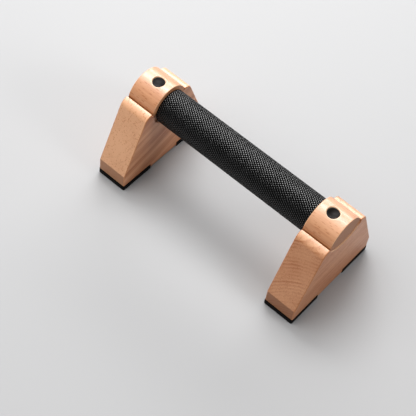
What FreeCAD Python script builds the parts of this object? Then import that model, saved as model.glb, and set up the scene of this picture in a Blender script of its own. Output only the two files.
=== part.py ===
import FreeCAD, Part
import math
import os

# Parallette bar: a rubber-covered bar held low above the floor by two beech feet.
# X runs along the bar, Y along the feet and Z is up. The origin is on the floor, under the middle of
# the bar. Lengths are in millimetres. End pieces are made for the right-hand foot (+X) and mirrored.

Vector = FreeCAD.Vector

# Whole bar
SPAN = 255.0                 # over the outer faces of the two feet
AXIS_HEIGHT = 86.0           # middle of the bar above the floor

# Bar: steel tube, rubber grip, turned beech ends
TUBE_DIAMETER = 22.0
TUBE_WALL = 2.0
GRIP_WALL = 8.0              # from the tube out to the hand
BAR_END_STEP = 4.5           # how far the bar end stands out round the grip
BAR_END_EDGE = 0.8           # rounding of the bar end's rims
TUBE_END_WOOD = 5.0          # wood left past the end of the tube
PLUG_LENGTH = 18.0           # crush plug inside each end of the tube

# Knurl of the grip: raised diamonds, one for each block of three by three of the real grip's fine ones
KNURL_LENGTH = 11.0          # one diamond along the bar
KNURL_HEIGHT = 0.7           # tips above the valleys
KNURL_ROUND_COUNT = 15       # diamonds round the grip

# Feet
FOOT_THICKNESS = 34.0
FOOT_LENGTH = 120.0
TOE_HEIGHT = 15.8            # upright wooden end of the foot
TOE_RADIUS = 3.0
SHOULDER_RISE = 5.8          # shoulder's inner end above the bar's axis
SHOULDER_FALL = 1.0          # how far the shoulder's top drops to its outer end
SHOULDER_SPAN = 62.6         # over the two shoulders, before they are rounded
SHOULDER_RADIUS = 10.4
GROOVE_RADIUS = 1.3          # rounding of the shoulder down into the groove beside the bar end
FOOT_EDGE = 1.2              # rounding of the foot's long edges
TOE_FOOT_EDGE = 1.0          # rounding of the wood's lower edges, just above the pads
LIP_THICKNESS = 4.0          # thin wall at the foot's outer face that stops the bar end
LIP_DROP = 7.3               # lowest point of the lip's curved top, below the bar's axis
LIP_TIP_RISE = 3.0           # ends of the lip's curved top, above the bar's axis
LIP_TIP_RADIUS = 2.5
NOSE_SETBACK = 1.0           # bar end's visible end face, behind the foot's outer face
THROAT_THICKNESS = 3.0       # thin wall at the foot's inner face, below the bar end's collar
THROAT_RISE = 3.0            # top of that wall, above the bar's axis
THROAT_GAP = 2.0             # between that wall and the grip

# Rubber pads, let into the underside of each toe
PAD_LENGTH = 40.0
PAD_THICKNESS = 6.0
PAD_REBATE = 3.5             # depth of the rebate that holds the pad
PAD_OVERHANG = 0.5           # pad's edge past the wood's faces
PAD_CORNER_RADIUS = 2.0
PAD_EDGE = 0.5               # chamfer round the pad's underside

# Bolt, washer, threaded insert and cap, on one upright axis through each bar end
BOLT_DIAMETER = 6.0
HEAD_DIAMETER = 10.5
HEAD_HEIGHT = 3.3
HEAD_CROWN = 1.5             # domed part of the head's height
KEY_WIDTH = 4.0              # hexagon socket across its flats
KEY_DEPTH = 2.0
BOLT_TIP = 0.6               # chamfer on the bolt's end
THREAD_ENGAGEMENT = 11.1
WASHER_MARGIN = 0.95         # washer beyond the bolt head
WASHER_THICKNESS = 1.6
INSERT_WALL = 1.7
INSERT_LENGTH = 13.0
INSERT_DEPTH = 0.5           # insert's top below the cradle's floor
INSERT_SLOT_WIDTH = 1.2
INSERT_SLOT_DEPTH = 1.6
CAP_HEIGHT = 3.0
CAP_RECESS = 1.9             # cap's rim below the top of the bar end
CAP_SKIRT_WALL = 1.1
CAP_RIM_WIDTH = 0.9
CAP_RIM_EDGE = 0.3
CAP_DISH = 0.9               # depth of the hollow in the cap's top
CAP_TOP_WALL = 0.8           # thinnest part of the cap, under the hollow
MOUTH_RADIUS = 1.0           # rounding of the wood round the cap

# Clearances
FIT_GAP = 0.1                # between pieces that slide together by hand
BOLT_GAP = 0.3               # round the bolt, and round the washer
THREAD_GAP = 0.05            # round the bolt in its insert
HEAD_GAP = 0.5               # bolt head to cap
HOLE_END_GAP = 0.5           # past the end of the bolt or the insert
OVERRUN = 5.0                # how far a cut runs past the face it starts from
SAME_PLACE = 0.000001        # closer than this is one point or one plane

# Places along the bar
outer_x = SPAN / 2
inner_x = outer_x - FOOT_THICKNESS
throat_x = inner_x + THROAT_THICKNESS
lip_x = outer_x - LIP_THICKNESS
bolt_x = (inner_x + lip_x) / 2
nose_x = outer_x - NOSE_SETBACK
body_x = throat_x + FIT_GAP
bar_end_x = lip_x - FIT_GAP
bore_end_x = bar_end_x - TUBE_END_WOOD
tube_end_x = bore_end_x - FIT_GAP
grip_end_x = inner_x - FIT_GAP

# Radii round the bar's axis
tube_radius = TUBE_DIAMETER / 2
tube_bore_radius = tube_radius - TUBE_WALL
grip_radius = tube_radius + GRIP_WALL
knurl_valley_radius = grip_radius - KNURL_HEIGHT
bar_end_radius = grip_radius + BAR_END_STEP
cradle_radius = bar_end_radius + FIT_GAP
throat_radius = grip_radius + THROAT_GAP

# Radii round the bolt's axis
bolt_radius = BOLT_DIAMETER / 2
bolt_hole_radius = bolt_radius + BOLT_GAP
head_radius = HEAD_DIAMETER / 2
washer_radius = head_radius + WASHER_MARGIN
cap_hole_radius = washer_radius + BOLT_GAP
cap_radius = cap_hole_radius - FIT_GAP
insert_bore_radius = bolt_radius + THREAD_GAP
insert_radius = insert_bore_radius + INSERT_WALL

# Places along the feet
toe_y = FOOT_LENGTH / 2
rebate_y = toe_y - PAD_LENGTH

# Heights
base_z = PAD_THICKNESS - PAD_REBATE
toe_z = PAD_THICKNESS + TOE_HEIGHT
shoulder_z = AXIS_HEIGHT + SHOULDER_RISE
throat_top_z = AXIS_HEIGHT + THROAT_RISE
collar_z = throat_top_z + FIT_GAP
bar_end_top_z = AXIS_HEIGHT + bar_end_radius
cap_top_z = bar_end_top_z - CAP_RECESS
cap_foot_z = cap_top_z - CAP_HEIGHT
head_top_z = cap_foot_z - HEAD_GAP
washer_top_z = head_top_z - HEAD_HEIGHT
washer_foot_z = washer_top_z - WASHER_THICKNESS
cradle_floor_z = AXIS_HEIGHT - cradle_radius
insert_top_z = cradle_floor_z - INSERT_DEPTH
insert_foot_z = insert_top_z - INSERT_LENGTH
bolt_end_z = insert_top_z - THREAD_ENGAGEMENT
insert_hole_end_z = min(insert_foot_z, bolt_end_z) - HOLE_END_GAP


def limited_radii(points, radii, turns):
    """Corner radii, made smaller together where two roundings would not fit on the side between them."""
    count = len(points)
    trims = [radius * math.tan(turn / 2) for radius, turn in zip(radii, turns)]
    factors = [1.0] * count
    for here in range(count):
        after = (here + 1) % count
        room = points[here].distanceToPoint(points[after])
        wanted = trims[here] + trims[after]
        if wanted > room:
            factors[here] = min(factors[here], room / wanted)
            factors[after] = min(factors[after], room / wanted)
    return [radius * factor for radius, factor in zip(radii, factors)]


def rounded_face(corners):
    """Flat face across the bar, from (y, z, radius) corners in order, each rounded by a tangent arc."""
    count = len(corners)
    points = [Vector(0, y, z) for y, z, radius in corners]
    sides = [(points[(here + 1) % count] - points[here]).normalize() for here in range(count)]
    turns = [sides[here - 1].getAngle(sides[here]) for here in range(count)]
    radii = limited_radii(points, [radius for y, z, radius in corners], turns)
    edges = []
    pen = None
    first = None
    for point, before, after, turn, radius in zip(points, sides[-1:] + sides[:-1], sides, turns, radii):
        trim = radius * math.tan(turn / 2)
        start = point - before * trim
        end = point + after * trim
        if pen is None:
            first = start
        elif not pen.isEqual(start, SAME_PLACE):
            edges.append(Part.LineSegment(pen, start).toShape())
        if radius > 0:
            inward = (after - before).normalize()
            middle = point + inward * (radius / math.cos(turn / 2) - radius)
            edges.append(Part.Arc(start, middle, end).toShape())
        pen = end
    if not pen.isEqual(first, SAME_PLACE):
        edges.append(Part.LineSegment(pen, first).toShape())
    return Part.Face(Part.Wire(Part.__sortEdges__(edges)))


def prism(corners, start_x, end_x):
    """Solid with a rounded outline, along the bar from start_x to end_x."""
    solid = rounded_face(corners).extrude(Vector(end_x - start_x, 0, 0))
    solid.translate(Vector(start_x, 0, 0))
    return solid


def turned(corners):
    """Solid of revolution about the bolt's axis, from (radius, z, rounding) corners."""
    solid = rounded_face(corners).revolve(Vector(0, 0, 0), Vector(0, 0, 1), 360)
    solid.translate(Vector(bolt_x, 0, 0))
    return solid


def rod_along_bar(radius, start_x, end_x):
    return Part.makeCylinder(radius, end_x - start_x, Vector(start_x, 0, AXIS_HEIGHT), Vector(1, 0, 0))


def upright_rod(radius, low_z, high_z):
    return Part.makeCylinder(radius, high_z - low_z, Vector(bolt_x, 0, low_z))


def bolt_hole():
    return upright_rod(bolt_hole_radius, 0, bar_end_top_z + OVERRUN)


def flat_at(value, low, high):
    """True where a shape spans no distance and lies at the value."""
    return abs(low - value) < SAME_PLACE and abs(high - value) < SAME_PLACE


def edges_across(solid, x, above_z):
    """Edges that lie in the plane at x and rise above a height."""
    found = []
    for edge in solid.Edges:
        box = edge.BoundBox
        if flat_at(x, box.XMin, box.XMax) and box.ZMax > above_z + SAME_PLACE:
            found.append(edge)
    return found


def reaches_past(edge, y):
    """True for an edge that reaches further from the middle of the foot than y."""
    box = edge.BoundBox
    return max(-box.YMin, box.YMax) > y + SAME_PLACE


def edges_on_pads(solid):
    """Outer edges of the wood at the height of the pads' tops."""
    found = []
    for edge in solid.Edges:
        box = edge.BoundBox
        if flat_at(PAD_THICKNESS, box.ZMin, box.ZMax) and reaches_past(edge, rebate_y):
            found.append(edge)
    return found


def lip_corners(gap):
    """Curved top of the end lip: two tips and the low point between them, drawn in by a gap."""
    half_width = cradle_radius - gap
    slope = 2 * math.atan((LIP_DROP + LIP_TIP_RISE) / cradle_radius)
    low_z = AXIS_HEIGHT + LIP_TIP_RISE - cradle_radius * math.tan(slope) + gap / math.cos(slope)
    tip_z = low_z + half_width * math.tan(slope)
    curve_radius = half_width / math.sin(slope)
    tip_radius = LIP_TIP_RADIUS - gap
    return [(-half_width, tip_z, tip_radius), (0, low_z, curve_radius), (half_width, tip_z, tip_radius)]


def cradle_corners():
    """Round floor of the cradle that the bar end lies in."""
    return [(-cradle_radius, cradle_floor_z, cradle_radius), (cradle_radius, cradle_floor_z, cradle_radius)]


def throat_corners():
    """Opening in the foot's inner face: a ledge on each side of a round-bottomed slot for the grip."""
    slot_floor_z = AXIS_HEIGHT - throat_radius
    half = [
        (throat_radius, slot_floor_z, throat_radius),
        (throat_radius, throat_top_z, 0),
        (cradle_radius, throat_top_z, 0),
    ]
    other_half = [(-y, z, radius) for y, z, radius in reversed(half)]
    return other_half + half


def foot_corners(hollow):
    """Outline of a foot seen along the bar, with the hollow in its top given from left to right."""
    half = [
        (cradle_radius, shoulder_z, GROOVE_RADIUS),
        (SHOULDER_SPAN / 2, shoulder_z - SHOULDER_FALL, SHOULDER_RADIUS),
        (toe_y, toe_z, TOE_RADIUS),
        (toe_y, PAD_THICKNESS, 0),
        (rebate_y, PAD_THICKNESS, 0),
        (rebate_y, base_z, 0),
    ]
    other_half = [(-y, z, radius) for y, z, radius in reversed(half)]
    return hollow + half + other_half


def foot():
    """Beech foot: a cradle for the bar end, between the throat's wall and a low lip at the outer face."""
    throat = prism(foot_corners(throat_corners()), inner_x, throat_x)
    cradle = prism(foot_corners(cradle_corners()), throat_x, lip_x)
    lip = prism(foot_corners(lip_corners(0)), lip_x, outer_x)
    block = throat.fuse([cradle, lip]).removeSplitter()
    inner_edges = edges_across(block, inner_x, PAD_THICKNESS)
    long_edges = [edge for edge in inner_edges if reaches_past(edge, cradle_radius)]
    block = block.makeFillet(FOOT_EDGE, long_edges + edges_across(block, outer_x, PAD_THICKNESS))
    block = block.makeFillet(TOE_FOOT_EDGE, edges_on_pads(block))
    return block.cut(upright_rod(insert_radius + FIT_GAP, insert_hole_end_z, AXIS_HEIGHT))


def bar_end():
    """Turned beech end of the bar: a body in the cradle, with a collar and a nose over its two walls."""
    body = rod_along_bar(bar_end_radius, body_x, bar_end_x)
    above_z = bar_end_top_z + OVERRUN
    over_throat = [(-bar_end_radius, collar_z, 0), (bar_end_radius, collar_z, 0),
                   (bar_end_radius, above_z, 0), (-bar_end_radius, above_z, 0)]
    collar = prism(over_throat, inner_x, body_x).common(rod_along_bar(bar_end_radius, inner_x, body_x))
    over_lip = lip_corners(FIT_GAP) + [(bar_end_radius, above_z, 0), (-bar_end_radius, above_z, 0)]
    nose = prism(over_lip, bar_end_x, nose_x).common(rod_along_bar(bar_end_radius, bar_end_x, nose_x))
    wood = body.fuse([collar, nose]).removeSplitter()
    rims = edges_across(wood, inner_x, collar_z) + edges_across(wood, nose_x, 0)
    wood = wood.makeFillet(BAR_END_EDGE, rims)
    cap_hole = upright_rod(cap_hole_radius, washer_foot_z, bar_end_top_z + OVERRUN)
    wood = round_mouth(wood.cut(cap_hole))
    tube_bore = rod_along_bar(tube_radius + FIT_GAP, inner_x - OVERRUN, bore_end_x)
    return wood.cut(tube_bore).cut(bolt_hole())


def round_mouth(wood):
    """Rounds the edge where the cap's hole opens in the top of the bar end."""
    reach = cap_hole_radius + SAME_PLACE
    mouth = []
    for edge in wood.Edges:
        box = edge.BoundBox
        if box.ZMin > cap_foot_z and box.XMin > bolt_x - reach and box.XMax < bolt_x + reach:
            mouth.append(edge)
    return wood.makeFillet(MOUTH_RADIUS, mouth)


def core_tube():
    """Steel tube from bar end to bar end, drilled for both bolts."""
    tube = rod_along_bar(tube_radius, -tube_end_x, tube_end_x)
    tube = tube.cut(rod_along_bar(tube_bore_radius, -tube_end_x - OVERRUN, tube_end_x + OVERRUN))
    hole = bolt_hole()
    return tube.cut(hole).cut(mirrored(hole))


def knurl_point(step_along, step_round, steps_along):
    """Point of the knurl: tips and valleys take turns along and round the grip, and both ends are plain."""
    at_end = step_along in (0, steps_along)
    is_tip = (step_along + step_round) % 2 == 1 and not at_end
    radius = grip_radius if is_tip else knurl_valley_radius
    turn = math.pi * step_round / KNURL_ROUND_COUNT
    x = grip_end_x * (2 * step_along / steps_along - 1)
    return Vector(x, radius * math.sin(turn), AXIS_HEIGHT + radius * math.cos(turn))


def flat_face(points):
    return Part.Face(Part.makePolygon(points + points[:1]))


def knurl_skin():
    """Closed skin of the grip: each cell between four points is split along the valley that crosses it."""
    steps_along = 2 * max(1, round(2 * grip_end_x / KNURL_LENGTH))
    steps_round = 2 * KNURL_ROUND_COUNT
    rings = [[knurl_point(along, around, steps_along) for around in range(steps_round)]
             for along in range(steps_along + 1)]
    faces = [flat_face(rings[0]), flat_face(rings[-1])]
    for along in range(steps_along):
        for around in range(steps_round):
            after = (around + 1) % steps_round
            near = rings[along]
            far = rings[along + 1]
            cell = [near[around], far[around], far[after], near[after]]
            if (along + around) % 2 == 1:
                cell = cell[1:] + cell[:1]
            faces.append(flat_face([cell[0], cell[1], cell[2]]))
            faces.append(flat_face([cell[0], cell[2], cell[3]]))
    skin = Part.makeShell(faces)
    skin.sewShape()
    return skin


def grip_sleeve():
    """Knurled rubber sleeve on the tube, between the two feet."""
    sleeve = Part.makeSolid(knurl_skin())
    return sleeve.cut(rod_along_bar(tube_radius + FIT_GAP, -grip_end_x - OVERRUN, grip_end_x + OVERRUN))


def core_plug():
    """Solid plug in the end of the tube, so that the bolt can't crush it."""
    plug = rod_along_bar(tube_bore_radius - FIT_GAP, tube_end_x - PLUG_LENGTH, tube_end_x)
    return plug.cut(bolt_hole())


def bolt():
    """Button-head bolt with a hexagon socket."""
    outline = [
        (0, bolt_end_z, 0),
        (bolt_radius - BOLT_TIP, bolt_end_z, 0),
        (bolt_radius, bolt_end_z + BOLT_TIP, 0),
        (bolt_radius, washer_top_z, 0),
        (head_radius, washer_top_z, 0),
        (head_radius, head_top_z, HEAD_CROWN),
        (0, head_top_z, 0),
    ]
    corner_radius = KEY_WIDTH / math.sqrt(3)
    socket_z = head_top_z - KEY_DEPTH
    turns = [math.radians(60 * corner) for corner in range(7)]
    corners = [Vector(bolt_x + corner_radius * math.cos(turn), corner_radius * math.sin(turn), socket_z)
               for turn in turns]
    socket = Part.Face(Part.makePolygon(corners)).extrude(Vector(0, 0, KEY_DEPTH + OVERRUN))
    return turned(outline).cut(socket)


def washer():
    ring = upright_rod(washer_radius, washer_foot_z, washer_top_z)
    return ring.cut(bolt_hole())


def threaded_insert():
    """Brass insert screwed into the foot, with a slot across its top for the driver."""
    insert = upright_rod(insert_radius, insert_foot_z, insert_top_z)
    insert = insert.cut(upright_rod(insert_bore_radius, insert_foot_z - OVERRUN, insert_top_z + OVERRUN))
    slot_length = 2 * (insert_radius + OVERRUN)
    corner = Vector(bolt_x - slot_length / 2, -INSERT_SLOT_WIDTH / 2, insert_top_z - INSERT_SLOT_DEPTH)
    slot = Part.makeBox(slot_length, INSERT_SLOT_WIDTH, INSERT_SLOT_DEPTH + OVERRUN, corner)
    return insert.cut(slot)


def bolt_cap():
    """Press-in cap: a rim round a shallow hollow, on a short skirt."""
    skirt_bore = cap_radius - CAP_SKIRT_WALL
    hollow_z = cap_top_z - CAP_DISH
    outline = [
        (0, hollow_z - CAP_TOP_WALL, 0),
        (skirt_bore, hollow_z - CAP_TOP_WALL, 0),
        (skirt_bore, cap_foot_z, 0),
        (cap_radius, cap_foot_z, 0),
        (cap_radius, cap_top_z, CAP_RIM_EDGE),
        (0, cap_top_z, 0),
    ]
    hollow_edge = cap_radius - CAP_RIM_WIDTH
    ball_radius = (hollow_edge ** 2 + CAP_DISH ** 2) / (2 * CAP_DISH)
    ball = Part.makeSphere(ball_radius, Vector(bolt_x, 0, hollow_z + ball_radius))
    return turned(outline).cut(ball)


def pad(side):
    """Rubber pad under one toe of the foot: side is -1 at the front and 1 at the rear."""
    tip_y = toe_y + PAD_OVERHANG
    heel_y = rebate_y + FIT_GAP
    width = FOOT_THICKNESS + 2 * PAD_OVERHANG
    low_y = min(side * tip_y, side * heel_y)
    block = Part.makeBox(width, tip_y - heel_y, PAD_THICKNESS, Vector(inner_x - PAD_OVERHANG, low_y, 0))
    corners = [edge for edge in block.Edges if is_upright_at(edge, side * tip_y)]
    block = block.makeFillet(PAD_CORNER_RADIUS, corners)
    underside = [edge for edge in block.Edges if flat_at(0, edge.BoundBox.ZMin, edge.BoundBox.ZMax)]
    return block.makeChamfer(PAD_EDGE, underside)


def is_upright_at(edge, y):
    """True for an upright edge at a place across the foot."""
    box = edge.BoundBox
    return flat_at(y, box.YMin, box.YMax) and box.XLength < SAME_PLACE


def mirrored(solid):
    """The same piece at the other end of the bar."""
    return solid.mirror(Vector(0, 0, 0), Vector(1, 0, 0))


def build():
    pieces = {"core_tube": core_tube(), "grip_sleeve": grip_sleeve()}
    end_pieces = {
        "foot": foot(),
        "bar_end": bar_end(),
        "core_plug": core_plug(),
        "bolt": bolt(),
        "washer": washer(),
        "threaded_insert": threaded_insert(),
        "bolt_cap": bolt_cap(),
        "front_pad": pad(-1),
        "rear_pad": pad(1),
    }
    for name, solid in end_pieces.items():
        pieces["right_" + name] = solid
        pieces["left_" + name] = mirrored(solid)
    return pieces


os.makedirs("parts", exist_ok=True)
for node, solid in build().items():
    box = solid.BoundBox
    print(node, "valid" if solid.isValid() else "NOT VALID", len(solid.Solids), "solid,",
          round(solid.Volume), "mm3,", round(box.XLength, 2), round(box.YLength, 2), round(box.ZLength, 2))
    solid.exportStep("parts/" + node + ".step")
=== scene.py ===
"""Looks of the parallette bar: oiled beech, a knurled rubber grip, black caps and pads, hidden hardware."""
import math

import bmesh
import bpy
from mathutils import Matrix, Vector


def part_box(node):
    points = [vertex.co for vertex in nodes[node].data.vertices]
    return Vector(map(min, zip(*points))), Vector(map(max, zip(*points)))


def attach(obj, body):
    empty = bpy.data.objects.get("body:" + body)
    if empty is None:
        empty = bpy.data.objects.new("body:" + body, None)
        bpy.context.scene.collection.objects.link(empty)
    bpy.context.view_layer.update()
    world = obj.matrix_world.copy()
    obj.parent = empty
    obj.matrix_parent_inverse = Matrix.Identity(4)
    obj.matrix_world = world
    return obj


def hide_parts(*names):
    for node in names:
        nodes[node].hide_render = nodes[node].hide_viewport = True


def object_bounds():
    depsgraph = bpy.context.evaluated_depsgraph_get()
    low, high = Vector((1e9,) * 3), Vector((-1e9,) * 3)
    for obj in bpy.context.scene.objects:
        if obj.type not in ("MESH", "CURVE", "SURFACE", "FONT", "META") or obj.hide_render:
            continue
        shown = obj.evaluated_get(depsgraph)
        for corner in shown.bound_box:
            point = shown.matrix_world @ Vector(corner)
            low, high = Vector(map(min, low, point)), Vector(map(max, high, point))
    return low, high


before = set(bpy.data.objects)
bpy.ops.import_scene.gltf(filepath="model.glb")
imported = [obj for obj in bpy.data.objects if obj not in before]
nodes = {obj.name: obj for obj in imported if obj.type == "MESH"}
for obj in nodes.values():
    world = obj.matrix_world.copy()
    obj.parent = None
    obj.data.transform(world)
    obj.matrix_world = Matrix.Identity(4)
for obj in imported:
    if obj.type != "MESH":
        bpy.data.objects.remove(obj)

cad_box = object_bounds()
MM = 0.001
PER_MM = 1000.0
ALONG_BAR = (1.0, 0.0, 0.0)
ALONG_FOOT = (0.0, 1.0, 0.0)
UP = (0.0, 0.0, 1.0)

# Camera: where it stands in metres, which way it looks and how wide it sees
CAMERA_PLACE = Vector((0.3698, -0.6058, 1.0303))
CAMERA_AZIMUTH = math.radians(33.29)
CAMERA_ELEVATION = math.radians(55.56)
CAMERA_ROLL = math.radians(9.52)
VIEW_ANGLE = math.radians(19.18)
SENSOR_WIDTH = 36.0
NEAREST_VIEW = 0.05
FARTHEST_VIEW = 50.0

# Studio: each lamp has its place and its side lengths in metres, and its watts
FLOOR_SIDE = 12.0
FLOOR_DARK = (0.40, 0.40, 0.404, 1.0)
FLOOR_PALE = (0.43, 0.43, 0.434, 1.0)
FLOOR_ROUGHNESS = 0.8
AIR_COLOUR = (1.0, 1.0, 1.0, 1.0)
AMBIENT_LIGHT = 0.21
LAMPS = {
    "key_softbox": (Vector((-0.42, 0.50, 1.18)), (0.75, 0.28), 9.2),
    "broad_softbox": (Vector((-0.60, 0.32, 1.30)), (1.20, 1.30), 12.0),
    "front_fill": (Vector((-0.60, -0.66, 1.20)), (1.4, 1.0), 11.0),
    "side_fill": (Vector((1.20, 0.25, 0.90)), (0.5, 0.4), 6.0),
    "rear_strip": (Vector((-0.50, 1.20, 0.72)), (1.4, 0.30), 12.0),
}
# Lamps that light the object but leave no highlight on it
UNREFLECTED_LAMPS = {"front_fill", "side_fill"}

# Knurl of the grip: raised diamonds between crossing grooves, each with a steep flank and a flatter crown
DIAMONDS_ROUND = 45
DIAMOND_LENGTH = 3.66 * MM
DIAMOND_HEIGHT = 0.70 * MM
FLANK_WIDTH = 0.60 * MM
FLANK_RISE_SHARE = 0.88
CROWN_WIDTH = 0.28 * MM
# The left-hand grooves are so many times narrower than the right-hand ones
GROOVE_RATIO = 2.4
# Cells that the sheet has beyond its corners before it is trimmed
SPARE_CELLS = 2
# A smaller share of a diamond was cut at an end of the grip, and stays flat
WHOLE_DIAMOND_SHARE = 0.8
# The tips' place among the grip's materials; the flanks come first
TIP_SLOT = 1
MERGE_GAP = 0.01 * MM
SHARP_EDGE = math.radians(50)

# Beech colours, in linear light; the fleck is a tint that darkens the wood under it
BEECH_PALE = (0.77, 0.410, 0.222, 1.0)
BEECH_DEEP = (0.415, 0.138, 0.048, 1.0)
BEECH_FLECK = (0.70, 0.480, 0.280, 1.0)
# Tint of the eased edges, and painted shade beside the grooves
BEECH_EDGE_AND_GROOVE_SHADE = (0.48, 0.175, 0.052, 1.0)
# Painted highlight on the eased rims round the bar
BEECH_RIM_HIGHLIGHT = (0.84, 0.520, 0.300, 1.0)
BEECH_END = (0.25, 0.092, 0.034, 1.0)
# Painted shade in the seam where a bar end meets its foot
BEECH_SEAM_SHADE = (0.27, 0.098, 0.031, 1.0)
# Painted highlight round the cap holes
BEECH_MOUTH_HIGHLIGHT = (0.86, 0.620, 0.420, 1.0)

# Figure of the beech, in millimetres: Y runs along the grain, so every pattern is drawn out along Y
DRIFT_STRETCH = (1.0, 0.14, 1.0)
FIBRE_STRETCH = (1.0, 0.045, 1.0)
STREAK_STRETCH = (1.0, 0.055, 1.0)
FLECK_CELLS_PER_MM = (0.75, 0.19, 0.75)
RING_DRIFT = (3.5, 0.0, 3.5)
RING_RIPPLE = (1.4, 0.0, 1.4)
ACROSS_GRAIN = (1.0, 0.0, 1.0)
# How far fibres and drift carry the colour from pale to deep
FIBRE_SHADE = 0.18
DRIFT_SHADE = 0.6

# Finish of the beech: roughness, polish, and how much of the edge tint, the painted shade in the seams and
# the painted highlight round the cap holes shows
WOOD_ROUGHNESS = 0.34
FIBRE_ROUGHNESS = 0.08
END_GRAIN_ROUGHNESS = 0.15
COAT_ROUGHNESS = 0.36
COAT_IOR = 1.75
EDGE_SHARE = 0.75
SEAM_SHADE_SHARE = 0.85
MOUTH_HIGHLIGHT_SHARE = 0.8

# Places on the wood, in millimetres: how deep the groove lies, and how far the painted shade by the grooves
# and seams and the painted highlight round the cap holes reach out
GROOVE_DEPTH = 0.9
GROOVE_SHADE_REACH = 6.0
SEAM_SHADE_REACH = 1.5
MOUTH_HIGHLIGHT_REACH = 1.3

# Each piece of beech:
# grain: the way that its fibres run
# move, turn: its place in the log, in millimetres and degrees
# tone: how deep its colour is
# ring_spacing: the width of its growth rings in millimetres
# ring_strength, fleck_strength, streak_strength: how clearly its figure shows
# flank_streak_and_shade: how much clearer and deeper the streaks are on the faces square to the bar; on the
# left foot this is partly painted shade from the grip
# end_share: how much its end grain darkens
# groove_shade_share: how much painted shade darkens it near the grooves beside the bar ends
# coat: how polished its upper faces are
# painted_top_light: how much paler its upper faces are painted, a painted highlight where light falls from
# above
BEECH_PIECES = {
    "left_foot": {
        "grain": ALONG_FOOT, "move": (150.0, 40.0, -95.0), "turn": (-15.0, 0.0, 0.0), "tone": -0.08,
        "ring_spacing": 3.4, "ring_strength": 0.10, "fleck_strength": 0.70,
        "streak_strength": 0.04, "flank_streak_and_shade": 0.95, "end_share": 0.70, "groove_shade_share": 0.0,
        "coat": 0.90, "painted_top_light": 0.10,
    },
    "right_foot": {
        "grain": ALONG_FOOT, "move": (-152.0, 260.0, 24.0), "turn": (-4.0, 0.0, 0.0), "tone": 0.38,
        "ring_spacing": 3.3, "ring_strength": 0.42, "fleck_strength": 0.50,
        "streak_strength": 0.06, "flank_streak_and_shade": 0.18, "end_share": 0.75, "groove_shade_share": 0.0,
        "coat": 0.90, "painted_top_light": 0.42,
    },
    "left_bar_end": {
        "grain": ALONG_BAR, "move": (40.0, 500.0, -30.0), "turn": (0.0, 0.0, 90.0), "tone": 0.25,
        "ring_spacing": 3.6, "ring_strength": 0.12, "fleck_strength": 0.75,
        "streak_strength": 0.20, "flank_streak_and_shade": 0.0, "end_share": 0.10, "groove_shade_share": 0.55,
        "coat": 0.85, "painted_top_light": 0.10,
    },
    "right_bar_end": {
        "grain": ALONG_BAR, "move": (-48.0, 700.0, -40.0), "turn": (0.0, 0.0, 88.0), "tone": 0.15,
        "ring_spacing": 3.3, "ring_strength": 0.22, "fleck_strength": 0.60,
        "streak_strength": 0.25, "flank_streak_and_shade": 0.0, "end_share": 0.75, "groove_shade_share": 0.55,
        "coat": 0.90, "painted_top_light": 0.10,
    },
}

# Colours of rubber, plastic, metal and nylon, in linear light
# The flanks' black is deeper than the tips': partly painted shade in the grooves between the diamonds,
# partly the tips' wear from hands
FLANK_BLACK = (0.0015, 0.0015, 0.0016, 1.0)
FLANK_DUSTY = (0.0030, 0.0030, 0.0031, 1.0)
TIP_BLACK = (0.0040, 0.0040, 0.0042, 1.0)
TIP_WORN = (0.0080, 0.0080, 0.0083, 1.0)
PAD_BLACK = (0.0022, 0.0022, 0.0024, 1.0)
PAD_DUSTY = (0.0070, 0.0070, 0.0072, 1.0)
CAP_BLACK = (0.0034, 0.0029, 0.0026, 1.0)
CAP_WARM = (0.0080, 0.0069, 0.0061, 1.0)
TUBE_DARK = (0.40, 0.41, 0.42, 1.0)
TUBE_BRIGHT = (0.58, 0.59, 0.60, 1.0)
ZINC_DARK = (0.48, 0.49, 0.52, 1.0)
ZINC_BRIGHT = (0.66, 0.67, 0.70, 1.0)
BRASS_DARK = (0.52, 0.36, 0.12, 1.0)
BRASS_BRIGHT = (0.74, 0.54, 0.24, 1.0)
NYLON_DARK = (0.62, 0.60, 0.54, 1.0)
NYLON_PALE = (0.76, 0.74, 0.69, 1.0)

# Tool marks per millimetre along X, Y and Z
DRAWN_MARKS = (0.05, 3.0, 3.0)
ROLLED_MARKS = (2.0, 2.0, 0.6)
TURNED_MARKS = (0.6, 0.6, 4.0)


# Node helpers

def set_inputs(tree, made, inputs):
    """Fills a node's inputs: a socket is linked, and any other value is set."""
    for name, value in inputs.items():
        if isinstance(value, bpy.types.NodeSocket):
            tree.links.new(value, made.inputs[name])
        else:
            made.inputs[name].default_value = value


def add_node(tree, kind, inputs, **settings):
    """Adds a shader node with its settings and inputs."""
    made = tree.nodes.new("ShaderNode" + kind)
    for name, value in settings.items():
        setattr(made, name, value)
    set_inputs(tree, made, inputs)
    return made


def math_of(tree, operation, first, second=0.0):
    """Result of a Math node, whose inputs share one name and so go by number."""
    return add_node(tree, "Math", {0: first, 1: second}, operation=operation).outputs[0]


def add_up(tree, *values):
    """Sum of several values."""
    total = values[0]
    for value in values[1:]:
        total = math_of(tree, "ADD", total, value)
    return total


def vector_of(tree, operation, first, second=(0.0, 0.0, 0.0)):
    """Result of a Vector Math node: a number for a length or a dot product, and a vector otherwise."""
    made = add_node(tree, "VectorMath", {0: first, 1: second}, operation=operation)
    return made.outputs["Value" if operation in ("LENGTH", "DOT_PRODUCT") else "Vector"]


def ramp_of(tree, value, low, high, to_low=0.0, to_high=1.0):
    """Eases a value from one range into another and holds it at both ends."""
    inputs = {"Value": value, "From Min": low, "From Max": high, "To Min": to_low, "To Max": to_high}
    return add_node(tree, "MapRange", inputs, interpolation_type="SMOOTHSTEP").outputs["Result"]


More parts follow.
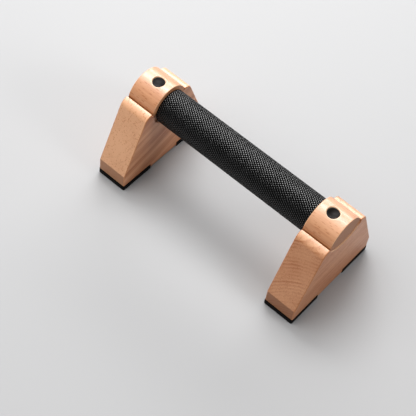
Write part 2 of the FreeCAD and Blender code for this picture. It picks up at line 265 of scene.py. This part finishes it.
def fade_of(tree, distance, full, gone):
    """1 up to the full distance, easing to 0 where it is gone."""
    return ramp_of(tree, distance, full, gone, to_low=1.0, to_high=0.0)


def distance_of(tree, first, second):
    """Distance of a spot from a line, from its distances along two axes."""
    sides = add_node(tree, "CombineXYZ", {"X": first, "Y": second}).outputs["Vector"]
    return vector_of(tree, "LENGTH", sides)


def mix_of(tree, share, first, second, blend="MIX"):
    """Mixes two colours; a Mix node's colour sockets share their names with others and so go by number."""
    made = add_node(tree, "Mix", {0: share, 6: first, 7: second}, data_type="RGBA", blend_type=blend)
    return made.outputs[2]


def noise_of(tree, place, scale, detail, roughness=0.5):
    """Outputs of a noise; its Fac is one value, and its Color holds three."""
    inputs = {"Vector": place, "Scale": scale, "Detail": detail, "Roughness": roughness}
    return add_node(tree, "TexNoise", inputs).outputs


def bump_of(tree, height, strength, distance):
    """Normal of a surface that is raised by a height."""
    inputs = {"Height": height, "Strength": strength, "Distance": distance}
    return add_node(tree, "Bump", inputs).outputs["Normal"]


def object_place(tree, move=(0.0, 0.0, 0.0), turn=(0.0, 0.0, 0.0), scale=PER_MM):
    """Object coordinates, in millimetres unless scaled otherwise, turned by degrees and then moved."""
    coordinates = tree.nodes.new("ShaderNodeTexCoord").outputs["Object"]
    inputs = {
        "Vector": coordinates,
        "Location": move,
        "Rotation": [math.radians(angle) for angle in turn],
        "Scale": (scale, scale, scale),
    }
    return add_node(tree, "Mapping", inputs).outputs["Vector"]


def new_group(name, inputs, outputs):
    """Starts a node group; inputs and outputs are lists of (name, kind)."""
    tree = bpy.data.node_groups.new(name, "ShaderNodeTree")
    for side, sockets in (("INPUT", inputs), ("OUTPUT", outputs)):
        for label, kind in sockets:
            tree.interface.new_socket(name=label, in_out=side, socket_type="NodeSocket" + kind)
    given = tree.nodes.new("NodeGroupInput").outputs
    result = tree.nodes.new("NodeGroupOutput")
    return tree, given, result


def use_group(tree, group, inputs):
    """Adds a node group to a material and returns its outputs."""
    made = tree.nodes.new("ShaderNodeGroup")
    made.node_tree = group
    set_inputs(tree, made, inputs)
    return made.outputs


def new_material(name):
    """Starts a material and returns it with its tree and its shader."""
    material = bpy.data.materials.new(name)
    material.use_nodes = True
    tree = material.node_tree
    return material, tree, tree.nodes["Principled BSDF"]


# Shared effects

def beech_figure_group():
    """Figure of beech in its own grain space, in millimetres: the rings go round Y, the way of the grain."""
    tree, given, result = new_group(
        "beech_figure",
        [("Place", "Vector"), ("Ring Spacing", "Float"), ("Ring Strength", "Float"),
         ("Fleck Strength", "Float"), ("Streak Strength", "Float"), ("Tone", "Float")],
        [("Colour", "Color"), ("Roughness", "Float"), ("Height", "Float")],
    )
    place = given["Place"]
    drift_place = vector_of(tree, "MULTIPLY", place, DRIFT_STRETCH)
    drift = noise_of(tree, drift_place, scale=0.035, detail=2.0)
    ring = beech_rings(tree, place, drift_place, drift["Color"], given["Ring Spacing"])
    ring = math_of(tree, "MULTIPLY", ring, given["Ring Strength"])
    fleck = math_of(tree, "MULTIPLY", beech_flecks(tree, place), given["Fleck Strength"])

    fibre_place = vector_of(tree, "MULTIPLY", place, FIBRE_STRETCH)
    fibre_noise = noise_of(tree, fibre_place, scale=1.0, detail=3.0, roughness=0.6)["Fac"]
    fibre = ramp_of(tree, fibre_noise, low=0.32, high=0.68)
    streak_place = vector_of(tree, "MULTIPLY", place, STREAK_STRETCH)
    streak_noise = noise_of(tree, streak_place, scale=0.10, detail=3.0, roughness=0.6)["Fac"]
    streak = ramp_of(tree, streak_noise, low=0.36, high=0.66, to_low=0.35)

    shade = add_up(
        tree, given["Tone"], ring,
        math_of(tree, "MULTIPLY", fibre, FIBRE_SHADE),
        math_of(tree, "MULTIPLY", streak, given["Streak Strength"]),
        math_of(tree, "MULTIPLY", math_of(tree, "SUBTRACT", drift["Fac"], 0.5), DRIFT_SHADE),
    )
    colour = mix_of(tree, shade, BEECH_PALE, BEECH_DEEP)
    fibre_roughness = math_of(tree, "MULTIPLY", fibre, FIBRE_ROUGHNESS)
    set_inputs(tree, result, {
        "Colour": mix_of(tree, fleck, colour, BEECH_FLECK, "MULTIPLY"),
        "Roughness": math_of(tree, "ADD", WOOD_ROUGHNESS, fibre_roughness),
        "Height": math_of(tree, "SUBTRACT", fibre, fleck),
    })
    return tree


def sway_of(tree, noise_colour, reach):
    """A noise's colour, which lies round the middle of 0 and 1, as a sway to both sides."""
    centred = vector_of(tree, "SUBTRACT", noise_colour, (0.5, 0.5, 0.5))
    return vector_of(tree, "MULTIPLY", centred, reach)


def beech_rings(tree, place, drift_place, drift_colour, spacing):
    """Growth rings: they drift and ripple, no two are equally deep, and they fade in and out."""
    ripple_colour = noise_of(tree, drift_place, scale=0.22, detail=1.0)["Color"]
    drifted = vector_of(tree, "ADD", place, sway_of(tree, drift_colour, RING_DRIFT))
    rippled = vector_of(tree, "ADD", drifted, sway_of(tree, ripple_colour, RING_RIPPLE))
    from_heart = vector_of(tree, "LENGTH", vector_of(tree, "MULTIPLY", rippled, ACROSS_GRAIN))
    count = math_of(tree, "DIVIDE", from_heart, spacing)

    share = math_of(tree, "FRACT", count)
    slow_rise = ramp_of(tree, share, low=0.15, high=0.80)
    quick_fall = ramp_of(tree, share, low=0.84, high=1.0)
    line = math_of(tree, "SUBTRACT", slow_rise, quick_fall)

    number = math_of(tree, "FLOOR", count)
    chance = add_node(tree, "TexWhiteNoise", {"W": number}, noise_dimensions="1D").outputs["Value"]
    depth = ramp_of(tree, chance, low=0.0, high=1.0, to_low=0.3)
    fading_noise = noise_of(tree, place, scale=0.06, detail=3.0)["Fac"]
    fading = ramp_of(tree, fading_noise, low=0.36, high=0.56, to_low=0.30)
    return math_of(tree, "MULTIPLY", math_of(tree, "MULTIPLY", line, depth), fading)


def beech_flecks(tree, place):
    """Short darker flecks along the grain, one to a cell and small and faint in about a third of them."""
    cell_place = vector_of(tree, "MULTIPLY", place, FLECK_CELLS_PER_MM)
    cells = add_node(tree, "TexVoronoi", {"Vector": cell_place, "Scale": 1.0}).outputs
    chance = add_node(tree, "SeparateColor", {"Color": cells["Color"]}).outputs["Red"]
    size = ramp_of(tree, chance, low=0.30, high=1.0, to_high=0.46)
    return ramp_of(tree, math_of(tree, "SUBTRACT", size, cells["Distance"]), low=-0.06, high=0.10)


def beech_masks_group(groove_y, groove_z, bolt_x, hole_radius):
    """Masks for eased edges, upper faces, faces square to the bar, grooves, seams, cap holes and end grain;
    those for the grooves, seams, cap holes and the rims round the bar place painted shade and painted
    highlights.
    """
    tree, given, result = new_group(
        "beech_masks",
        [("Place", "Vector"), ("Grain Direction", "Vector")],
        [("Edge", "Float"), ("Flank", "Float"), ("Top", "Float"), ("Cradle", "Float"),
         ("Groove", "Float"), ("Seam", "Float"), ("Mouth", "Float"), ("End Grain", "Float")],
    )
    # Both ends and both sides are alike, so places are measured without their signs
    spot = add_node(tree, "SeparateXYZ", {"Vector": vector_of(tree, "ABSOLUTE", given["Place"])}).outputs
    groove_distance = distance_of(
        tree,
        math_of(tree, "SUBTRACT", spot["Y"], groove_y),
        math_of(tree, "SUBTRACT", spot["Z"], groove_z),
    )
    bolt_distance = distance_of(tree, math_of(tree, "SUBTRACT", spot["X"], bolt_x), spot["Y"])
    # A painted highlight round the cap holes, which the eased edges leave out
    mouth_highlight = fade_of(tree, bolt_distance, hole_radius + MOUTH_HIGHLIGHT_REACH / 2, hole_radius + MOUTH_HIGHLIGHT_REACH)

    # An eased edge is where the wood has begun to turn towards the bar's ends but doesn't face them yet
    normal = tree.nodes.new("ShaderNodeTexCoord").outputs["Normal"]
    endward = math_of(tree, "ABSOLUTE", vector_of(tree, "DOT_PRODUCT", normal, ALONG_BAR))
    flank = ramp_of(tree, endward, low=0.84, high=0.97)
    edge = math_of(tree, "SUBTRACT", ramp_of(tree, endward, low=0.22, high=0.45), flank)
    upward = vector_of(tree, "DOT_PRODUCT", normal, UP)
    along = math_of(tree, "ABSOLUTE", vector_of(tree, "DOT_PRODUCT", normal, given["Grain Direction"]))
    set_inputs(tree, result, {
        "Edge": math_of(tree, "SUBTRACT", edge, mouth_highlight),
        "Flank": flank,
        # Top: upper faces, which take the coat and, on some pieces, a painted highlight
        "Top": ramp_of(tree, upward, low=0.50, high=0.90),
        # Cradle: the rims round the bar, whose eased edges get a painted highlight
        "Cradle": fade_of(tree, spot["Y"], groove_y - GROOVE_SHADE_REACH / 2, groove_y),
        # Groove: painted shade, deepening the wood towards the grooves beside the bar ends
        "Groove": fade_of(tree, groove_distance, 0.0, GROOVE_SHADE_REACH),
        # Seam: painted shade along the narrow seam between bar end and foot
        "Seam": fade_of(tree, groove_distance, SEAM_SHADE_REACH / 2, SEAM_SHADE_REACH),
        # Mouth: a painted highlight on each cap hole's rounded mouth
        "Mouth": mouth_highlight,
        "End Grain": ramp_of(tree, along, low=0.93, high=0.99),
    })
    return tree


# Materials

def beech_colour(tree, colour, masks, piece):
    """Lays over the figure's colour its end grain, a tint on the eased edges that turns into a painted
    highlight on the rims round the bar, painted shade beside the grooves and in the seams, and a painted
    highlight round the cap holes.
    """
    # Eased edges take a deeper orange tint; on the rims round the bar they take a painted highlight instead
    edge_tint_and_rim_highlight = mix_of(tree, masks["Cradle"], BEECH_EDGE_AND_GROOVE_SHADE, BEECH_RIM_HIGHLIGHT)
    layers = (
        ("End Grain", piece["end_share"], BEECH_END),
        ("Edge", EDGE_SHARE, edge_tint_and_rim_highlight),
        # Painted shade beside the grooves
        ("Groove", piece["groove_shade_share"], BEECH_EDGE_AND_GROOVE_SHADE),
        # Painted shade in the seams
        ("Seam", SEAM_SHADE_SHARE, BEECH_SEAM_SHADE),
        # Painted highlight round the cap holes
        ("Mouth", MOUTH_HIGHLIGHT_SHARE, BEECH_MOUTH_HIGHLIGHT),
    )
    for mask, share, layer_colour in layers:
        colour = mix_of(tree, math_of(tree, "MULTIPLY", masks[mask], share), colour, layer_colour)
    return colour


def beech(name, figure, mask_group, piece):
    """Fine-sanded, oiled beech; each piece has its own place in the log."""
    material, tree, shader = new_material(name + "_beech")
    masks = use_group(tree, mask_group, {"Place": object_place(tree), "Grain Direction": piece["grain"]})
    # On faces square to the bar the streaks are stronger and deepen the colour; on the left foot this
    # deepening is partly painted shade cast by the grip
    flank_streak_and_shade = math_of(tree, "MULTIPLY", masks["Flank"], piece["flank_streak_and_shade"])
    # Upper faces are painted paler: a painted highlight where light falls from above
    paleness = math_of(tree, "MULTIPLY", masks["Top"], piece["painted_top_light"])
    figured = use_group(tree, figure, {
        "Place": object_place(tree, piece["move"], piece["turn"]),
        "Ring Spacing": piece["ring_spacing"],
        "Ring Strength": piece["ring_strength"],
        "Fleck Strength": piece["fleck_strength"],
        "Streak Strength": math_of(tree, "ADD", flank_streak_and_shade, piece["streak_strength"]),
        "Tone": math_of(tree, "SUBTRACT", piece["tone"], paleness),
    })
    end_roughness = math_of(tree, "MULTIPLY", masks["End Grain"], END_GRAIN_ROUGHNESS)
    set_inputs(tree, shader, {
        "Base Color": beech_colour(tree, figured["Colour"], masks, piece),
        "Roughness": math_of(tree, "ADD", figured["Roughness"], end_roughness),
        "Coat Weight": math_of(tree, "MULTIPLY", masks["Top"], piece["coat"]),
        "Coat Roughness": COAT_ROUGHNESS,
        "Coat IOR": COAT_IOR,
        "Normal": bump_of(tree, figured["Height"], strength=0.3, distance=0.03 * MM),
    })
    return material


def black_rubber(name, black, dusty, mottle_scale, smooth, dull, specular_level):
    """Black rubber with a fine grain, mottled by handling and dust."""
    material, tree, shader = new_material(name)
    place = object_place(tree)
    mottle = noise_of(tree, place, mottle_scale, detail=4.0, roughness=0.6)["Fac"]
    dust = ramp_of(tree, mottle, low=0.40, high=0.72)
    grain = noise_of(tree, place, scale=6.0, detail=2.0)["Fac"]
    set_inputs(tree, shader, {
        "Base Color": mix_of(tree, dust, black, dusty),
        "Roughness": ramp_of(tree, mottle, low=0.35, high=0.70, to_low=smooth, to_high=dull),
        "Specular IOR Level": specular_level,
        "Normal": bump_of(tree, grain, strength=0.3, distance=0.03 * MM),
    })
    return material


def cap_plastic():
    """Dull black moulded plastic."""
    material, tree, shader = new_material("cap_plastic")
    place = object_place(tree)
    mottle = noise_of(tree, place, scale=0.8, detail=3.0)["Fac"]
    grain = noise_of(tree, place, scale=9.0, detail=1.0)["Fac"]
    set_inputs(tree, shader, {
        "Base Color": mix_of(tree, mottle, CAP_BLACK, CAP_WARM),
        "Roughness": ramp_of(tree, mottle, low=0.3, high=0.7, to_low=0.32, to_high=0.40),
        "Specular IOR Level": 0.08,
        "Normal": bump_of(tree, grain, strength=0.25, distance=0.02 * MM),
    })
    return material


def worked_metal(name, dark, bright, marks_per_mm, smooth, dull):
    """Drawn, rolled or turned metal, with fine tool marks."""
    material, tree, shader = new_material(name)
    mark_place = vector_of(tree, "MULTIPLY", object_place(tree), marks_per_mm)
    marks = noise_of(tree, mark_place, scale=1.0, detail=4.0, roughness=0.6)["Fac"]
    set_inputs(tree, shader, {
        "Base Color": mix_of(tree, marks, dark, bright),
        "Roughness": ramp_of(tree, marks, low=0.3, high=0.7, to_low=smooth, to_high=dull),
        "Metallic": 1.0,
        "Normal": bump_of(tree, marks, strength=0.2, distance=0.02 * MM),
    })
    return material


def plug_nylon():
    """Cloudy natural nylon."""
    material, tree, shader = new_material("plug_nylon")
    cloud = noise_of(tree, object_place(tree), scale=0.5, detail=3.0)["Fac"]
    set_inputs(tree, shader, {
        "Base Color": mix_of(tree, cloud, NYLON_DARK, NYLON_PALE),
        "Roughness": ramp_of(tree, cloud, low=0.3, high=0.7, to_low=0.42, to_high=0.56),
    })
    return material


def studio_floor():
    """Plain pale floor, faintly clouded over metres."""
    material, tree, shader = new_material("studio_floor")
    cloud = noise_of(tree, object_place(tree, scale=1.0), scale=1.5, detail=2.0)["Fac"]
    set_inputs(tree, shader, {
        "Base Color": mix_of(tree, cloud, FLOOR_DARK, FLOOR_PALE),
        "Roughness": FLOOR_ROUGHNESS,
    })
    return material


# Pieces

def finish_mesh(bm, name):
    """Turns a bmesh into an object of its own at the origin, smooth but for its sharp edges."""
    mesh = bpy.data.meshes.new(name)
    bm.to_mesh(mesh)
    bm.free()
    mesh.shade_smooth()
    mesh.set_sharp_from_angle(angle=SHARP_EDGE)
    piece = bpy.data.objects.new(name, mesh)
    bpy.context.scene.collection.objects.link(piece)
    return piece


def diamond_grid(bm, cells, half_length, half_width):
    """A flat square grid, turned and stretched so that its cells are diamonds with points along X and Y."""
    bmesh.ops.create_grid(bm, x_segments=cells, y_segments=cells, size=cells / 2)
    lean = Matrix.Identity(4)
    lean[0][0] = half_length
    lean[0][1] = half_length
    lean[1][0] = -half_width
    lean[1][1] = half_width
    bmesh.ops.transform(bm, matrix=lean, verts=bm.verts)


def trim_sheet(bm, length, girth, half_width):
    """Cuts a sheet of diamonds to its length, and to its girth along the diamonds' own edges."""
    for side in (-1, 1):
        everything = bm.verts[:] + bm.edges[:] + bm.faces[:]
        end = (side * length / 2, 0, 0)
        bmesh.ops.bisect_plane(bm, geom=everything, plane_co=end, plane_no=(side, 0, 0), clear_outer=True)
    # Half a row to one side, the limits fall between the diamonds' centres
    low_side = -girth / 2 - half_width / 2
    high_side = girth / 2 - half_width / 2
    outside = [face for face in bm.faces if not low_side < face.calc_center_median().y < high_side]
    bmesh.ops.delete(bm, geom=outside, context="FACES")


def raise_diamonds(bm):
    """Raises each whole diamond in two steps: a steep flank in dull rubber and a flatter, polished tip."""
    areas = sorted(face.calc_area() for face in bm.faces)
    whole_area = areas[len(areas) // 2] * WHOLE_DIAMOND_SHARE
    diamonds = [face for face in bm.faces if face.calc_area() > whole_area]
    steps = ((FLANK_WIDTH, FLANK_RISE_SHARE), (CROWN_WIDTH, 1 - FLANK_RISE_SHARE))
    for width, rise_share in steps:
        rise = DIAMOND_HEIGHT * rise_share
        bmesh.ops.inset_individual(bm, faces=diamonds, thickness=width, depth=rise, use_even_offset=True)
        for face in diamonds:
            face.material_index = TIP_SLOT


def knurl_sheet(bm, length, girth):
    """A flat sheet of raised diamonds: X along the bar and Y round it, one full turn."""
    diamonds_along = round(length / DIAMOND_LENGTH)
    half_length = length / diamonds_along / 2
    half_width = girth / DIAMONDS_ROUND / 2
    diamond_grid(bm, DIAMONDS_ROUND + diamonds_along + SPARE_CELLS, half_length, half_width)
    trim_sheet(bm, length, girth, half_width)
    # Diamonds are raised while the sheet is stretched, so the grooves square to the stretch end up narrower
    across_fine_grooves = Vector((half_width, half_length, 0)).normalized()
    stretch = Matrix.Scale(GROOVE_RATIO, 4, across_fine_grooves)
    bmesh.ops.transform(bm, matrix=stretch, verts=bm.verts)
    raise_diamonds(bm)
    bmesh.ops.transform(bm, matrix=stretch.inverted(), verts=bm.verts)


def roll_up(bm, valley_radius):
    """Rolls a flat sheet up round the X axis, with its heights outwards, and joins its two sides."""
    for vert in bm.verts:
        angle = vert.co.y / valley_radius
        radius = valley_radius + vert.co.z
        vert.co.y = -radius * math.sin(angle)
        vert.co.z = radius * math.cos(angle)
    bmesh.ops.remove_doubles(bm, verts=bm.verts, dist=MERGE_GAP)


def close_ends(bm, outer_radius, bore_radius):
    """Draws both open ends in to the bore and joins them by the bore's wall."""
    mouths = [edge for edge in bm.edges if edge.is_boundary]
    rim = bmesh.ops.extrude_edge_only(bm, edges=mouths)["geom"]
    rim_verts = [part for part in rim if isinstance(part, bmesh.types.BMVert)]
    rim_edges = [part for part in rim if isinstance(part, bmesh.types.BMEdge)]
    for vert in rim_verts:
        vert.co.y *= bore_radius / outer_radius
        vert.co.z *= bore_radius / outer_radius
    bmesh.ops.bridge_loops(bm, edges=[edge for edge in rim_edges if edge.is_boundary])
    bmesh.ops.recalc_face_normals(bm, faces=bm.faces)


def grip_rubbers():
    """Dull rubber for the flanks of the diamonds, its deeper black partly painted shade in the grooves, and
    rubber that hands have polished for their tips.
    """
    flank_rubber = black_rubber(
        "grip_flank_rubber", FLANK_BLACK, FLANK_DUSTY,
        mottle_scale=0.15, smooth=0.75, dull=0.90, specular_level=0.0,
    )
    tip_rubber = black_rubber(
        "grip_tip_rubber", TIP_BLACK, TIP_WORN,
        mottle_scale=0.15, smooth=0.26, dull=0.36, specular_level=0.9,
    )
    return flank_rubber, tip_rubber


def knurled_grip():
    """The grip sleeve with a real diamond knurl, rolled up from a flat sheet round the bar."""
    low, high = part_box("grip_sleeve")
    tube_low, tube_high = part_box("core_tube")
    tip_radius = (high.z - low.z) / 2
    axis_height = (high.z + low.z) / 2
    bore_radius = (tube_high.z - tube_low.z) / 2
    valley_radius = tip_radius - DIAMOND_HEIGHT

    bm = bmesh.new()
    knurl_sheet(bm, high.x - low.x, 2 * math.pi * valley_radius)
    roll_up(bm, valley_radius)
    close_ends(bm, valley_radius, bore_radius)
    bmesh.ops.translate(bm, vec=(0, 0, axis_height), verts=bm.verts)
    grip = finish_mesh(bm, "knurled_grip")
    for rubber in grip_rubbers():
        grip.data.materials.append(rubber)
    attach(grip, "frame")
    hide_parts("grip_sleeve")


# Studio

def add_camera():
    """Sets the camera up and makes it the scene's own."""
    camera = bpy.data.objects.new("camera", bpy.data.cameras.new("camera"))
    bpy.context.scene.collection.objects.link(camera)
    camera.data.sensor_fit = "HORIZONTAL"
    camera.data.sensor_width = SENSOR_WIDTH
    camera.data.lens = SENSOR_WIDTH / (2 * math.tan(VIEW_ANGLE / 2))
    camera.data.clip_start = NEAREST_VIEW
    camera.data.clip_end = FARTHEST_VIEW
    azimuth = Matrix.Rotation(CAMERA_AZIMUTH, 4, "Z")
    tilt = Matrix.Rotation(math.pi / 2 - CAMERA_ELEVATION, 4, "X")
    roll = Matrix.Rotation(CAMERA_ROLL, 4, "Z")
    camera.matrix_world = Matrix.Translation(CAMERA_PLACE) @ azimuth @ tilt @ roll
    bpy.context.scene.camera = camera


def add_lamps(target):
    """Sets the soft lamps up, all of them facing the target."""
    for name, (place, sides, watts) in LAMPS.items():
        lamp = bpy.data.lights.new(name, "AREA")
        lamp.shape = "RECTANGLE"
        lamp.size, lamp.size_y = sides
        lamp.energy = watts
        stand = bpy.data.objects.new(name, lamp)
        bpy.context.scene.collection.objects.link(stand)
        stand.location = place
        stand.rotation_mode = "QUATERNION"
        stand.rotation_quaternion = (target - place).to_track_quat("-Z", "Y")
        stand.visible_glossy = name not in UNREFLECTED_LAMPS


def add_world():
    """Fills the studio with a low, even light."""
    world = bpy.data.worlds.new("studio_air")
    world.use_nodes = True
    background = world.node_tree.nodes["Background"]
    set_inputs(world.node_tree, background, {"Color": AIR_COLOUR, "Strength": AMBIENT_LIGHT})
    bpy.context.scene.world = world


def add_floor(level):
    """Lays the floor at the level that the object stands on."""
    bm = bmesh.new()
    bmesh.ops.create_grid(bm, x_segments=1, y_segments=1, size=FLOOR_SIDE / 2)
    bmesh.ops.translate(bm, vec=(0, 0, level), verts=bm.verts)
    floor = finish_mesh(bm, "studio_floor")
    floor.data.materials.append(studio_floor())


# Dressing

def dress(material, *names):
    """Gives CAD nodes their material."""
    for name in names:
        mesh = nodes[name].data
        mesh.materials.clear()
        mesh.materials.append(material)


def dress_beech():
    """Gives the feet and bar ends their beech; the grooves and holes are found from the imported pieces."""
    foot_low, foot_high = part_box("right_foot")
    end_low, end_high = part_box("right_bar_end")
    cap_low, cap_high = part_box("right_bolt_cap")
    end_radius = (end_high.y - end_low.y) / 2
    axis_height = end_high.z - end_radius
    shoulder_rise = foot_high.z - axis_height
    figure = beech_figure_group()
    mask_group = beech_masks_group(
        groove_y=math.sqrt(end_radius ** 2 - shoulder_rise ** 2) * PER_MM,
        groove_z=foot_high.z * PER_MM - GROOVE_DEPTH,
        bolt_x=(cap_low.x + cap_high.x) / 2 * PER_MM,
        hole_radius=(cap_high.x - cap_low.x) / 2 * PER_MM,
    )
    for name, piece in BEECH_PIECES.items():
        dress(beech(name, figure, mask_group, piece), name)


def dress_pads_and_caps():
    """Gives the pads their rubber and the caps their plastic."""
    pad_rubber = black_rubber(
        "pad_rubber", PAD_BLACK, PAD_DUSTY,
        mottle_scale=0.4, smooth=0.68, dull=0.85, specular_level=0.10,
    )
    dress(pad_rubber, "left_front_pad", "left_rear_pad", "right_front_pad", "right_rear_pad")
    dress(cap_plastic(), "left_bolt_cap", "right_bolt_cap")


def dress_hidden_hardware():
    """Gives the tube, plugs, bolts, washers and inserts their metal and nylon."""
    steel = worked_metal("tube_steel", TUBE_DARK, TUBE_BRIGHT, DRAWN_MARKS, smooth=0.28, dull=0.42)
    zinc = worked_metal("bolt_steel", ZINC_DARK, ZINC_BRIGHT, ROLLED_MARKS, smooth=0.22, dull=0.36)
    brass = worked_metal("insert_brass", BRASS_DARK, BRASS_BRIGHT, TURNED_MARKS, smooth=0.24, dull=0.38)
    dress(steel, "core_tube")
    dress(zinc, "left_bolt", "right_bolt", "left_washer", "right_washer")
    dress(brass, "left_threaded_insert", "right_threaded_insert")
    dress(plug_nylon(), "left_core_plug", "right_core_plug")


dress_beech()
knurled_grip()
dress_pads_and_caps()
dress_hidden_hardware()

low, high = cad_box
add_floor(low.z)
add_lamps((low + high) / 2)
add_world()
add_camera()
bpy.context.scene.view_settings.view_transform = "Standard"
